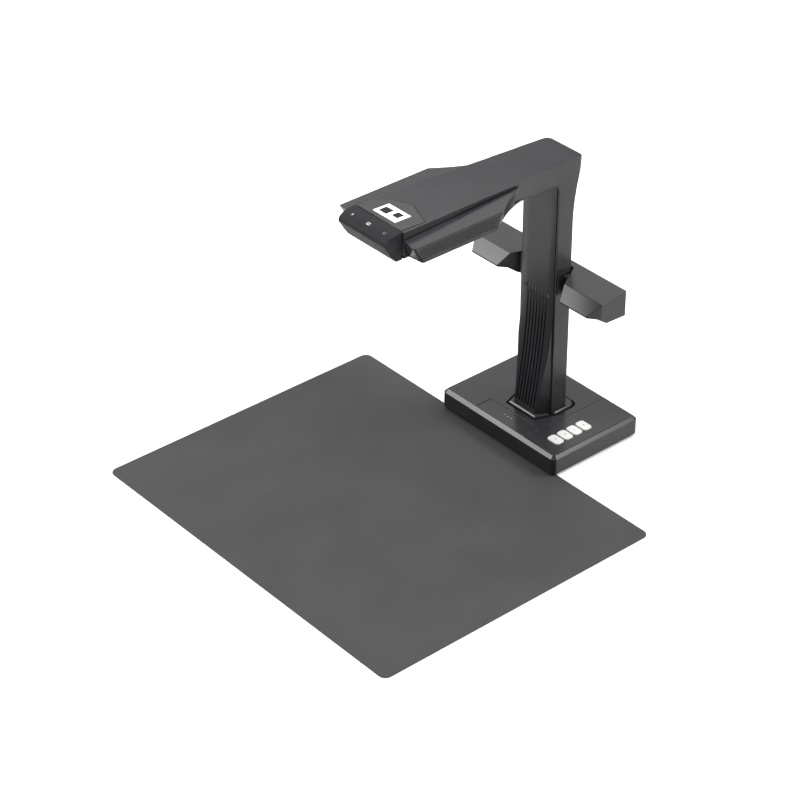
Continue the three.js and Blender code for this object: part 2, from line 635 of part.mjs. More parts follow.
const pin = { radius: 1.5, hole: 1.8, ear: 4.4, past: 0.6 };
const earHigh = [223, 227];
const earLow = [203, 207];
let bracket = block(column.half + gap, 33.2, 193, 213, 203, 232);
for (const [low, high] of [earHigh, earLow]) {
  bracket = bracket.add(rod(lamp.pinX, lamp.pinY, low, high, pin.ear, 32));
  bracket = bracket.add(block(33, lamp.pinX, lamp.pinY - pin.ear, lamp.pinY + pin.ear, low, high));
}
bracket = bracket.subtract(rod(lamp.pinX, lamp.pinY, 190, 240, pin.hole));
const lampPin = rod(lamp.pinX, lamp.pinY, earLow[0] - pin.past, earHigh[1] + pin.past, pin.radius);

for (const side of ['right', 'left']) {
  const place = side === 'right' ? (solid) => solid : mirrorX;
  add(`lamp_shell_${side}`, place(lampShell), satinBlack);
  add(`lamp_end_cap_${side}`, place(endCap), deepBlack);
  add(`lamp_diffuser_${side}`, place(diffuser), diffuserWhite);
  add(`lamp_led_board_${side}`, place(ledBoard), boardGreen);
  add(`lamp_bracket_${side}`, place(bracket), deepBlack);
  add(`lamp_pin_${side}`, place(lampPin), steel);
}

// ---------------------------------------------------------------- pad

const padRing = (in_, z) => roundedRect(
  -pad.half + in_, pad.half - in_, pad.front + in_, pad.back - in_, pad.corner, 6,
).map(([x, y]) => [x, y, z]);
add('scan_pad', loft([padRing(0, 0), padRing(0, pad.thick - 0.4), padRing(0.4, pad.thick)]), mattDark);

export default scanner;
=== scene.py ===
# Overhead book scanner: satin black mouldings, a perforated camera head, white keys and a dark page pad.
# Everything is in metres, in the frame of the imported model.

import json
import math

import bmesh
import bpy
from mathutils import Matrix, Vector
from mathutils.bvhtree import BVHTree


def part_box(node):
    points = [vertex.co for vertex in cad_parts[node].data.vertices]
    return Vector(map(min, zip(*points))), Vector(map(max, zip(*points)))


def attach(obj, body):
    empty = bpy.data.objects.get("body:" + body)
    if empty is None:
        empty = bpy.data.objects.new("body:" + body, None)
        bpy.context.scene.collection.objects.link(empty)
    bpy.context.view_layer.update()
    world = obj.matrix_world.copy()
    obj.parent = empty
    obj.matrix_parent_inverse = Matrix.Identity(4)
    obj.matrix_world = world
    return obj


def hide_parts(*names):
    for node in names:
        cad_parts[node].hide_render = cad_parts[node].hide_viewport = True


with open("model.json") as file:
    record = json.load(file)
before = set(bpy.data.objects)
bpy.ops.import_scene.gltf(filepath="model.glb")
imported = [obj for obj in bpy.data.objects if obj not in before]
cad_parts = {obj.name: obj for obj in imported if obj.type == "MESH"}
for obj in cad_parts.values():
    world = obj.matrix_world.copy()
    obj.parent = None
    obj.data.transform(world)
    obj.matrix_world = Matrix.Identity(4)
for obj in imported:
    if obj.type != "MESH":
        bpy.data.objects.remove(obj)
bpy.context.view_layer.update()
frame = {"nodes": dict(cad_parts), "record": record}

MM = 0.001
DOWN = Vector((0, 0, -1))
nodes = frame["nodes"]
body_of = {n: body for body, group in frame["record"]["behaviour"]["bodies"].items() for n in group}
slot_of = {s["node"]: s["material_slot"] for s in frame["record"]["subparts"]}


# ---------------------------------------------------------------- materials

def colour(hex_value):
    """An sRGB hex value as linear red, green, blue and alpha."""
    channels = [int(hex_value[i:i + 2], 16) / 255 for i in (1, 3, 5)]
    return tuple(c / 12.92 if c <= 0.04045 else ((c + 0.055) / 1.055) ** 2.4 for c in channels) + (1.0,)


def put(tree, kind, settings=None, **links):
    """Adds a node. settings are its properties or input values, links the sockets that feed it."""
    node = tree.nodes.new(kind)
    for name, value in (settings or {}).items():
        if hasattr(node, name):
            setattr(node, name, value)
        else:
            node.inputs[name].default_value = value
    for name, socket in links.items():
        tree.links.new(socket, node.inputs[name.replace("_", " ")])
    return node


def new_material(name, base, roughness, ior=1.5, metallic=0.0, specular=0.5):
    material = bpy.data.materials.new(name)
    material.use_nodes = True
    tree = material.node_tree
    shader = tree.nodes["Principled BSDF"]
    shader.inputs["Base Color"].default_value = colour(base)
    shader.inputs["Roughness"].default_value = roughness
    shader.inputs["Metallic"].default_value = metallic
    if metallic == 0:
        shader.inputs["IOR"].default_value = ior
    shader.inputs["Specular IOR Level"].default_value = specular
    return material, tree, shader


def textured(material_parts, grain, height, colours, rough, drift=60 * MM):
    """A fine raised grain, with colour and roughness that drift slowly over the surface."""
    material, tree, shader = material_parts
    place = put(tree, "ShaderNodeTexCoord").outputs["Object"]
    fine = put(tree, "ShaderNodeTexNoise", {"Scale": 1 / grain, "Detail": 3.0}, Vector=place)
    slow = put(tree, "ShaderNodeTexNoise", {"Scale": 1 / drift, "Detail": 4.0}, Vector=place)
    tint = put(tree, "ShaderNodeValToRGB", Fac=slow.outputs["Fac"])
    for stop, value, at in zip(tint.color_ramp.elements, colours, (0.35, 0.65)):
        stop.color, stop.position = colour(value), at
    tree.links.new(tint.outputs["Color"], shader.inputs["Base Color"])
    gloss = put(tree, "ShaderNodeMapRange", {"To Min": rough[0], "To Max": rough[1]},
                Value=slow.outputs["Fac"])
    tree.links.new(gloss.outputs["Result"], shader.inputs["Roughness"])
    bump = put(tree, "ShaderNodeBump", {"Strength": 1.0, "Distance": height}, Height=fine.outputs["Fac"])
    tree.links.new(bump.outputs["Normal"], shader.inputs["Normal"])
    return material


# Satin ABS from a spark-eroded mould. Such a grain is about 0.3 mm, and is drawn at 0.8 mm so that it shows.
abs_satin = textured(new_material("satin_moulded_abs", "#2c2c2e", 0.24, specular=0.27), 0.8 * MM, 0.004 * MM,
                     ("#2a2a2c", "#303032"), (0.2, 0.28))
# The same ABS, duller. The nose has it because it came out too bright in satin under these lights.
abs_matt = textured(new_material("matt_moulded_abs", "#29292b", 0.5, specular=0.1), 0.8 * MM, 0.01 * MM,
                    ("#272729", "#2d2d2f"), (0.45, 0.55))
# Darker ABS without polish, for the underside, the rocker, and the lamps' caps and brackets.
# Its darker tone is painted shade, for pieces that sit in the shade of others.
shaded_dark_abs = textured(new_material("shaded_dark_moulded_abs", "#151516", 0.5), 0.7 * MM, 0.012 * MM,
                    ("#131314", "#19191a"), (0.46, 0.6))
# Punched plate, painted matt: the eye sees the holes first.
plate_matt = textured(new_material("matt_punched_plate", "#29292b", 0.6), 0.6 * MM, 0.01 * MM,
                      ("#262628", "#2e2e30"), (0.54, 0.68))
# Calendered PVC with a leather-like grain 1.2 mm across and no shine.
pad_vinyl = textured(new_material("calendered_vinyl", "#3a3a3b", 0.75), 1.2 * MM, 0.05 * MM,
                     ("#373738", "#3e3e3f"), (0.66, 0.8), drift=90 * MM)
# Moulded silicone feet, dusty and soft.
silicone = textured(new_material("moulded_silicone", "#141414", 0.85), 0.5 * MM, 0.02 * MM,
                    ("#121212", "#1a1a1a"), (0.78, 0.92))
# Off-white keys: polished polycarbonate, faintly warm.
key_white = textured(new_material("polished_polycarbonate", "#d2d2ce", 0.25, 1.58), 1.5 * MM, 0.002 * MM,
                     ("#cfcfcb", "#d5d5d2"), (0.2, 0.3))
# Plated sheet steel: pale grey, with a soft reflection.
plated_steel = textured(new_material("plated_steel", "#9c9fa2", 0.3, metallic=1.0), 1.0 * MM, 0.003 * MM,
                        ("#93969a", "#a6a9ac"), (0.24, 0.38))
# Milled aluminium: lighter than the steel, and a little rougher.
milled_aluminium = textured(new_material("milled_aluminium", "#b9bcbe", 0.35, metallic=1.0), 0.9 * MM,
                            0.004 * MM, ("#b1b4b6", "#c2c5c7"), (0.3, 0.45))
# Gold flash on the sockets' contacts: warm and smooth.
gold_contact = textured(new_material("gold_flash", "#d9b25a", 0.25, metallic=1.0), 0.8 * MM, 0.002 * MM,
                        ("#cfa850", "#dfba66"), (0.2, 0.32))


def make_board():
    """Green solder mask over copper tracks, as a grid of blocks with fine ridges."""
    material, tree, shader = new_material("solder_mask", "#1c5a37", 0.35)
    place = put(tree, "ShaderNodeTexCoord").outputs["Object"]
    tracks = put(tree, "ShaderNodeTexBrick", {"Scale": 1 / (4 * MM), "Mortar Size": 0.06,
                                              "Color1": colour("#1b5735"), "Color2": colour("#206340"),
                                              "Mortar": colour("#2b7a4d")}, Vector=place)
    tree.links.new(tracks.outputs["Color"], shader.inputs["Base Color"])
    bump = put(tree, "ShaderNodeBump", {"Strength": 0.4, "Distance": 0.03 * MM}, Height=tracks.outputs["Fac"])
    tree.links.new(bump.outputs["Normal"], shader.inputs["Normal"])
    return material


def make_diffuser():
    """Opal acrylic: light scatters inside it, so it looks soft and evenly white."""
    material, tree, shader = new_material("opal_acrylic", "#f2f3ef", 0.4, 1.49)
    shader.inputs["Subsurface Weight"].default_value = 0.25
    shader.inputs["Subsurface Radius"].default_value = (2 * MM, 2 * MM, 2 * MM)
    shader.inputs["Emission Color"].default_value = colour("#ffffff")
    shader.inputs["Emission Strength"].default_value = 0.15
    place = put(tree, "ShaderNodeTexCoord").outputs["Object"]
    ribs = put(tree, "ShaderNodeTexWave", {"Scale": 1 / (12 * MM), "bands_direction": "X"}, Vector=place)
    bump = put(tree, "ShaderNodeBump", {"Strength": 0.5, "Distance": 0.06 * MM}, Height=ribs.outputs["Fac"])
    tree.links.new(bump.outputs["Normal"], shader.inputs["Normal"])
    return material


def make_glass():
    """Smoked cover glass, painted black behind: a deep, sharp reflection and faint wipe marks."""
    material, tree, shader = new_material("smoked_glass", "#08090a", 0.06, 1.52, specular=0.27)
    place = put(tree, "ShaderNodeTexCoord").outputs["Object"]
    wipes = put(tree, "ShaderNodeTexNoise", {"Scale": 1 / (18 * MM), "Detail": 5.0}, Vector=place)
    gloss = put(tree, "ShaderNodeMapRange", {"To Min": 0.03, "To Max": 0.11}, Value=wipes.outputs["Fac"])
    tree.links.new(gloss.outputs["Result"], shader.inputs["Roughness"])
    return material


def make_lit(name, base, glow):
    """A lit or printed area with little shine. It gives light of its own where glow is above 0."""
    material, tree, shader = new_material(name, base, 0.18, 1.52, specular=0.1)
    shader.inputs["Emission Color"].default_value = colour(base)
    shader.inputs["Emission Strength"].default_value = glow
    place = put(tree, "ShaderNodeTexCoord").outputs["Object"]
    rows = put(tree, "ShaderNodeTexWave", {"Scale": 1 / (0.5 * MM), "bands_direction": "Y"}, Vector=place)
    bump = put(tree, "ShaderNodeBump", {"Strength": 0.1, "Distance": 0.002 * MM}, Height=rows.outputs["Fac"])
    tree.links.new(bump.outputs["Normal"], shader.inputs["Normal"])
    return material


board = make_board()
diffuser_white = make_diffuser()
smoked_glass = make_glass()
lit_page = make_lit("lit_page", "#e6eaec", 0.55)
lit_picture = make_lit("lit_picture", "#171312", 0.0)
lit_mark = make_lit("lit_mark", "#c8cacb", 0.25)
dim_mark = make_lit("dim_mark", "#7d7f80", 0.15)
printed_grey = make_lit("printed_grey", "#6b6c6d", 0.0)

finish_of_slot = {
    # deep_black_plastic gets the satin ABS darkened as painted shade.
    "satin_black_shell": abs_satin, "deep_black_plastic": shaded_dark_abs, "perforated_grille": plate_matt,
    "pad_surface": pad_vinyl, "white_key": key_white, "white_diffuser": diffuser_white,
    "black_glass": smoked_glass, "lit_screen": lit_page, "circuit_board": board,
    "steel": plated_steel, "aluminium": milled_aluminium, "rubber_foot": silicone,
}


# ---------------------------------------------------------------- pieces

def link(name, mesh, material, body):
    piece = bpy.data.objects.new(name, mesh)
    bpy.context.scene.collection.objects.link(piece)
    mesh.materials.clear()
    mesh.materials.append(material)
    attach(piece, body)
    return piece


def solid(name, corners, faces, material, body, smooth=False):
    mesh = bpy.data.meshes.new(name)
    mesh.from_pydata([tuple(c) for c in corners], [], faces)
    work = bmesh.new()
    work.from_mesh(mesh)
    bmesh.ops.remove_doubles(work, verts=work.verts, dist=0.001 * MM)
    bmesh.ops.recalc_face_normals(work, faces=work.faces)
    work.to_mesh(mesh)
    work.free()
    for face in mesh.polygons:
        face.use_smooth = smooth
    return link(name, mesh, material, body)


def baked(piece):
    """The mesh that a piece's modifiers give, as a plain mesh."""
    depsgraph = bpy.context.evaluated_depsgraph_get()
    return bpy.data.meshes.new_from_object(piece.evaluated_get(depsgraph))


CORNER_SEGMENTS = 3
MERGE_WITHIN = 0.004 * MM
FLAT_WITHIN = math.radians(0.6)


def merged(node):
    """A working copy of a CAD piece, with its loose triangles joined into flat faces."""
    mesh = nodes[node].data.copy()
    work = bmesh.new()
    work.from_mesh(mesh)
    bmesh.ops.remove_doubles(work, verts=work.verts, dist=MERGE_WITHIN)
    bmesh.ops.dissolve_limit(work, angle_limit=FLAT_WITHIN, verts=work.verts, edges=work.edges)
    return mesh, work


def softened(node, width):
    """The CAD piece in flat faces, with every edge rounded as a mould leaves it."""
    mesh, work = merged(node)
    # A bevel leaves a large concave face overlapping itself, so such faces are split first.
    bmesh.ops.triangulate(work, faces=[face for face in work.faces if len(face.verts) > 4])
    for face in work.faces:
        face.smooth = True
    work.to_mesh(mesh)
    work.free()
    rough = bpy.data.objects.new("rough", mesh)
    bpy.context.scene.collection.objects.link(rough)
    bevel = rough.modifiers.new("edges", "BEVEL")
    bevel.width, bevel.segments = width, CORNER_SEGMENTS
    bevel.limit_method, bevel.angle_limit = "ANGLE", math.radians(24)
    bevel.use_clamp_overlap = False
    bevel.miter_outer = "MITER_ARC"
    flat = rough.modifiers.new("flat faces", "WEIGHTED_NORMAL")
    flat.weight, flat.keep_sharp = 100, True
    rounded = baked(rough)
    bpy.data.objects.remove(rough)
    slot = slot_of[node]
    piece = link(f"{node}_moulding", rounded, finish_of_slot[slot], body_of[node])
    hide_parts(node)
    return piece


# A search tree for each CAD piece that carries marks, made when it is first needed.
trees = {}
# How far a mark stands over its surface, and how deep it is rooted in it.
PRINT = 0.06 * MM
PRINT_ROOT = 0.03 * MM


def drop(node, x, y, lift):
    """The point over (x, y) on a CAD piece's top surface, raised by lift."""
    tree = trees.setdefault(node, BVHTree.FromPolygons(
        [v.co for v in nodes[node].data.vertices], [p.vertices for p in nodes[node].data.polygons]))
    hit = tree.ray_cast(Vector((x, y, 1)), DOWN)[0]
    if hit is None:
        raise ValueError(f"nothing of {node} lies under {x:.4f}, {y:.4f}")
    return hit + Vector((0, 0, lift))


def printed(name, node, outlines, material, lift=PRINT):
    """Thin marks that follow the top of a CAD piece. Each outline is a list of (x, y)."""
    corners, faces = [], []
    for outline in outlines:
        start, count = len(corners), len(outline)
        corners += [drop(node, x, y, lift) for x, y in outline]
        corners += [drop(node, x, y, -PRINT_ROOT) for x, y in outline]
        faces.append(list(range(start, start + count)))
        faces.append(list(range(start + 2 * count - 1, start + count - 1, -1)))
        for i in range(count):
            j = (i + 1) % count
            faces.append([start + j, start + i, start + count + i, start + count + j])
    return solid(name, corners, faces, material, body_of[node])


def circle(x, y, radius, sides=24):
    angles = [math.tau * i / sides for i in range(sides)]
    return [(x + radius * math.cos(angle), y + radius * math.sin(angle)) for angle in angles]


def band(x, y, inner, outer, start, turn, sides=20):
    """A part of a ring, as short quads."""
    def at(radius, i):
        angle = start + turn * i / sides
        return x + radius * math.cos(angle), y + radius * math.sin(angle)
    return [[at(inner, i), at(outer, i), at(outer, i + 1), at(inner, i + 1)] for i in range(sides)]


def bar(x0, x1, y0, y1):
    return [(x0, y0), (x1, y0), (x1, y1), (x0, y1)]


# ---------------------------------------------------------------- camera

VIEW_AZIMUTH, VIEW_ELEVATION, VIEW_DISTANCE = math.radians(49.48), math.radians(33.78), 3.352
aim = Vector((-0.1495, 0.0994, 0.0))
towards = Vector((math.sin(VIEW_AZIMUTH) * math.cos(VIEW_ELEVATION),
                  -math.cos(VIEW_AZIMUTH) * math.cos(VIEW_ELEVATION), math.sin(VIEW_ELEVATION)))
camera_data = bpy.data.cameras.new("camera")
camera_data.sensor_width, camera_data.lens = 36, 118.8
camera = bpy.data.objects.new("camera", camera_data)
camera.location = aim + towards * VIEW_DISTANCE
camera.rotation_euler = (-towards).to_track_quat("-Z", "Y").to_euler()
bpy.context.scene.collection.objects.link(camera)
bpy.context.scene.camera = camera


# ---------------------------------------------------------------- mouldings

# How wide each moulding's edges are rounded, in mm.
EDGE = {
    "base_cover": 0.3, "key_cover": 0.3, "column_socket": 0.5, "stand_casing": 0.8,
    "wing_shell_right": 0.5, "wing_shell_left": 0.5, "nose_panel": 0.9,
    "lamp_shell_right": 0.6, "lamp_shell_left": 0.6, "head_tray": 0.3, "key_1": 0.45, "key_2": 0.45,
    "key_3": 0.45, "key_4": 0.45, "display_glass": 0.15, "power_rocker": 0.3, "rocker_frame": 0.3,
    "base_plate": 0.3, "lamp_end_cap_right": 0.3, "lamp_end_cap_left": 0.3, "lamp_bracket_right": 0.3,
    "lamp_bracket_left": 0.3, "power_jack": 0.2, "usb_b_port": 0.15, "hdmi_port": 0.15, "usb_a_port": 0.15,
    "foot_1": 0.3, "foot_2": 0.3, "foot_3": 0.3, "foot_4": 0.3,
}
for node, width in EDGE.items():
    moulding = softened(node, width * MM)
    if node == "nose_panel":
        moulding.data.materials[0] = abs_matt

for name, thing in nodes.items():
    if name not in EDGE and name != "column_front_panel":
        thing.data.materials.clear()
        thing.data.materials.append(finish_of_slot[slot_of[name]])


# ---------------------------------------------------------------- grooved column front

def eased(z, low, high):
    return min(max((z - low) / (high - low), 0), 1)


def make_column_front():
    """The grooved panel: flat above, swelling forward into a narrower foot, with round-bottomed grooves."""
    low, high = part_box("column_front_panel")
    side, back = high.x, high.y
    swell_low, swell_high, taper_high = 34 * MM, 192 * MM, 125 * MM
    flat_front, flat_edge, edge_drop = 190.6 * MM, 192.2 * MM, 1.2 * MM
    foot_half, flat_half = 18 * MM, 27.4 * MM
    groove = {"low": 37 * MM, "high": 200 * MM, "half": 1.25 * MM, "deep": 2.6 * MM, "fade": 40 * MM}
    # Half a groove's width is 1 across, and its full depth is 1 down.
    groove_shape = ((-1, 0), (-0.86, 0.35), (-0.6, 0.8), (-0.25, 1), (0.25, 1), (0.6, 0.8), (0.86, 0.35),
                    (1, 0))
    grooves_each_side, foot_pitch, more_at_top = 3, 5.1, 0.2
    swell_power = 1.7
    lip = 0.35 * MM
    ring_step, ring_count = 2 * MM, 85

    def section(z):
        front = low.y + (flat_front - low.y) * (1 - (1 - eased(z, swell_low, swell_high)) ** swell_power)
        face = foot_half + (flat_half - foot_half) * eased(z, swell_low, taper_high)
        face = min(face, side - 0.4 * MM)
        edge = flat_edge - edge_drop * (1 - eased(z, swell_low, swell_high))
        spread = (foot_pitch + more_at_top * eased(z, swell_low, groove["high"])) * MM
        fade = 1 - eased(z, groove["high"] - groove["fade"], groove["high"])
        deep = groove["deep"] * fade * eased(z, groove["low"], groove["low"] + 1 * MM)
        flank = [(-side, back), (-side, edge + lip), (-side + lip * 0.3, edge),
                 (-face - lip, front + 0.5 * lip), (-face + lip, front)]
        points = list(flank)
        for i in range(-grooves_each_side, grooves_each_side + 1):
            for share, sink in groove_shape:
                points.append((i * spread + share * groove["half"], front + deep * sink))
        points += [(-x, y) for x, y in reversed(flank)]
        return [(x, y, z) for x, y in points]

    heights = [low.z, 20 * MM, 28 * MM]
    heights += [swell_low + ring_step * i for i in range(ring_count)]
    heights += [260 * MM, high.z]
    rings = [section(z) for z in heights]
    count = len(rings[0])
    faces = []
    for r in range(len(rings) - 1):
        for i in range(count):
            j = (i + 1) % count
            faces.append([r * count + i, r * count + j, (r + 1) * count + j, (r + 1) * count + i])
    faces.append(list(range(count - 1, -1, -1)))
    faces.append(list(range((len(rings) - 1) * count, len(rings) * count)))
    piece = solid("column_front_moulding", [c for ring in rings for c in ring], faces, abs_satin, "stand",
                  smooth=True)
    piece.data.set_sharp_from_angle(angle=math.radians(30))
    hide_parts("column_front_panel")


make_column_front()


# ---------------------------------------------------------------- pad

def make_pad():
    """A vinyl sheet with rolled edges, lying flat with a ripple too low to see except in the light."""
    low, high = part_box("scan_pad")
    middle, half = (low + high) / 2, (high - low) / 2
    corner, steps = 10 * MM, 10
    ripple, waves_across, waves_along = 0.08 * MM, 23, 31
    thick = high.z - low.z

    def ring(inward):
        points = []
        for sx, sy, start in ((1, -1, -90), (1, 1, 0), (-1, 1, 90), (-1, -1, 180)):
            for i in range(steps + 1):
                angle = math.radians(start + 90 * i / steps)
                reach = corner - inward if inward < corner else 0
                points.append((middle.x + sx * (half.x - max(corner, inward)) + reach * math.cos(angle),
                               middle.y + sy * (half.y - max(corner, inward)) + reach * math.sin(angle)))
        return points
    roll = 0.5 * thick
    levels = [(roll * (1 - math.cos(a)), low.z + roll * (1 - math.sin(a)))
              for a in (math.radians(90), math.radians(45), 0)]
    levels += [(roll * (1 - math.cos(a)), low.z + roll * (1 + math.sin(a)))
               for a in (math.radians(30), math.radians(60), math.radians(90))]
    levels += [(inward * MM, high.z) for inward in (4, 9, 30, 60, 100, 140, 180, 202)]
    corners, faces = [], []
    for inward, z in levels:
        for x, y in ring(inward):
            dip = ripple * math.sin(x * waves_across) * math.sin(y * waves_along) if inward > 20 * MM else 0
            corners.append((x, y, z - abs(dip)))
    count = 4 * (steps + 1)
    for r in range(len(levels) - 1):
        for i in range(count):
            j = (i + 1) % count
            faces.append([r * count + i, r * count + j, (r + 1) * count + j, (r + 1) * count + i])
    faces.append(list(range(count - 1, -1, -1)))
    faces.append(list(range((len(levels) - 1) * count, len(levels) * count)))
    piece = solid("page_pad", corners, faces, pad_vinyl, "pad", smooth=True)
    piece.data.set_sharp_from_angle(angle=math.radians(40))
    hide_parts("scan_pad")


make_pad()


# ---------------------------------------------------------------- perforated plates

def perforation_tree():
    """Geometry Nodes: a staggered grid of round holes cut through the plate."""
    tree = bpy.data.node_groups.new("perforations", "GeometryNodeTree")
    face = tree.interface
    face.new_socket("Geometry", in_out="INPUT", socket_type="NodeSocketGeometry")
    face.new_socket("Points", in_out="INPUT", socket_type="NodeSocketObject")
    face.new_socket("Hole radius", in_out="INPUT", socket_type="NodeSocketFloat")
    face.new_socket("Hole depth", in_out="INPUT", socket_type="NodeSocketFloat")
    face.new_socket("Material", in_out="INPUT", socket_type="NodeSocketMaterial")
    face.new_socket("Geometry", in_out="OUTPUT", socket_type="NodeSocketGeometry")
    given = put(tree, "NodeGroupInput").outputs
    spots = put(tree, "GeometryNodeObjectInfo", {"transform_space": "ORIGINAL"}, Object=given["Points"])
    drill = put(tree, "GeometryNodeMeshCylinder", {"Vertices": 8}, Radius=given["Hole radius"],
                Depth=given["Hole depth"])
    placed = put(tree, "GeometryNodeInstanceOnPoints", {"Rotation": (0, math.pi / 2, 0)},
                 Points=spots.outputs["Geometry"], Instance=drill.outputs["Mesh"])
    drills = put(tree, "GeometryNodeRealizeInstances", Geometry=placed.outputs["Instances"])
    cut = put(tree, "GeometryNodeMeshBoolean", {"operation": "DIFFERENCE"})
    tree.links.new(given["Geometry"], cut.inputs["Mesh 1"])
    tree.links.new(drills.outputs["Geometry"], cut.inputs["Mesh 2"])
    whole = put(tree, "GeometryNodeRealizeInstances", Geometry=cut.outputs["Mesh"])
    dressed = put(tree, "GeometryNodeSetMaterial", Geometry=whole.outputs["Geometry"],
                  Material=given["Material"])
    out = put(tree, "NodeGroupOutput")
    tree.links.new(dressed.outputs["Geometry"], out.inputs["Geometry"])
    return tree


def set_input(modifier, name, value):
    for item in modifier.node_group.interface.items_tree:
        if item.name == name and item.in_out == "INPUT":
            modifier[item.identifier] = value


def make_grille(side, tree):
    node = f"wing_grille_{side}"
    low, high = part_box(node)
    mesh, work = merged(node)
    work.to_mesh(mesh)
    work.free()
    plate = BVHTree.FromPolygons([v.co for v in mesh.vertices], [p.vertices for p in mesh.polygons])
    pitch, radius, margin, depth = 2.9 * MM, 0.95 * MM, 1.7 * MM, 12 * MM
    row_pitch, outside = pitch * math.sin(math.pi / 3), 200 * MM
    outward = Vector((1 if side == "right" else -1, 0, 0))
    spots = []
    rows = int((high.z - low.z - 2 * margin) / row_pitch)
    for r in range(rows + 1):
        z = low.z + margin + r * row_pitch
        y = low.y + margin + (r % 2) * pitch / 2
        while y < high.y - margin:
            around = [(y - margin, z), (y + margin, z), (y, z - margin), (y, z + margin)]
            if all(plate.ray_cast(Vector((0, v, w)) + outward * outside, -outward)[0] for v, w in around):
                spots.append(((low.x + high.x) / 2, y, z))
            y += pitch
    points = bpy.data.meshes.new("grille_points")
    points.from_pydata(spots, [], [])
    marker = bpy.data.objects.new("grille_points", points)
    bpy.context.scene.collection.objects.link(marker)
    plain = bpy.data.objects.new("grille_plain", mesh)
    bpy.context.scene.collection.objects.link(plain)
    modifier = plain.modifiers.new("holes", "NODES")
    modifier.node_group = tree
    set_input(modifier, "Points", marker)
    set_input(modifier, "Hole radius", radius)
    set_input(modifier, "Hole depth", depth)
    set_input(modifier, "Material", plate_matt)
    drilled = baked(plain)
    bpy.data.objects.remove(plain)
    bpy.data.objects.remove(marker)
    piece = link(f"perforated_plate_{side}", drilled, plate_matt, body_of[node])
    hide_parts(node)


holes = perforation_tree()
for side in ("right", "left"):
    make_grille(side, holes)


# ---------------------------------------------------------------- display and touch marks

def make_display():
    low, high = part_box("lcd_module")
    inset, ink, crease = 1.2 * MM, 0.10 * MM, 0.09 * MM
    x0, x1, y0, y1 = low.x + inset, high.x - inset, low.y + inset, high.y - inset
    middle, wide, deep = (x0 + x1) / 2, x1 - x0, y1 - y0
    printed("display_page", "display_glass", [bar(x0, x1, y0, y1)], lit_page)
    pictures = [bar(middle - 0.40 * wide, middle - 0.07 * wide, y0 + 0.22 * deep, y0 + 0.72 * deep),
                bar(middle + 0.08 * wide, middle + 0.34 * wide, y0 + 0.36 * deep, y0 + 0.80 * deep)]
    printed("display_pictures", "display_glass", pictures, lit_picture, ink)
    lines = []
    for column in (middle - 0.40 * wide, middle + 0.08 * wide):
        for row in range(3):
            y = y0 + (0.08 + 0.045 * row) * deep
            lines.append(bar(column, column + (0.30 - 0.05 * (row % 2)) * wide, y, y + 0.018 * deep))
    printed("display_lines", "display_glass", lines, printed_grey, ink)
    fold = bar(middle - 0.12 * MM, middle + 0.12 * MM, y0, y1)
    printed("display_fold", "display_glass", [fold], printed_grey, crease)


def make_touch_marks():
    low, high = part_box("nose_panel")
    y = low.y + 10.2 * MM
    side = 0.67 * high.x
    flash = [(0.3, 2.2), (-1.3, -0.3), (-0.2, -0.3), (-0.6, -2.2), (1.3, 0.5), (0.2, 0.5)]
    printed("touch_mark_light", "nose_panel", [[(-side + a * MM, y + b * MM) for a, b in flash]],
            lit_mark)
    ring = band(0, y - 0.2 * MM, 0.75 * MM, 1.25 * MM, 0, math.tau)
    wide, tall, line = 2.6 * MM, 1.9 * MM, 0.5 * MM
    frame_bars = [bar(-wide, wide, y - tall, y - tall + line), bar(-wide, wide, y + tall - line, y + tall),
                  bar(-wide, -wide + line, y - tall + line, y + tall - line),
                  bar(wide - line, wide, y - tall + line, y + tall - line)]
    printed("touch_mark_capture", "nose_panel", ring + frame_bars, lit_mark)
    arc = band(side, y, 1.4 * MM, 1.9 * MM, math.radians(125), math.radians(290))
    stem = [bar(side - 0.22 * MM, side + 0.22 * MM, y + 0.5 * MM, y + 2.1 * MM)]
    printed("touch_mark_power", "nose_panel", arc + stem, dim_mark)


make_display()
make_touch_marks()


# ---------------------------------------------------------------- key marks and status dots

def key_shapes(kind, x, y):
    """A triangle, a ring, a dash or two bars."""
    size = 1.3 * MM
    if kind == 1:
        return [[(x - size, y - size), (x + size, y), (x - size, y + size)]]
    if kind == 2:
        return band(x, y, 0.9 * MM, 1.3 * MM, 0, math.tau)
    if kind == 3:
        return [bar(x - size, x + size, y - 0.25 * MM, y + 0.25 * MM)]
    return [bar(x - size, x - 0.5 * MM, y - size, y + size), bar(x + 0.5 * MM, x + size, y - size, y + size)]


for index in range(1, 5):
    low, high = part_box(f"key_{index}")
    middle = (low + high) / 2
    shapes = key_shapes(index, middle.x, middle.y)
    printed(f"key_mark_{index}", f"key_{index}", shapes, printed_grey)


def make_status_dots():
    """Three plain indicator dots in the shallow recess on the base's top."""
    low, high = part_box("base_cover")
    y = low.y + 20 * MM
    spots = [circle((-8 + 6 * i) * MM, y, 1.1 * MM) for i in range(3)]
    printed("status_dots", "base_cover", spots, dim_mark)


make_status_dots()


# ---------------------------------------------------------------- repeated small parts

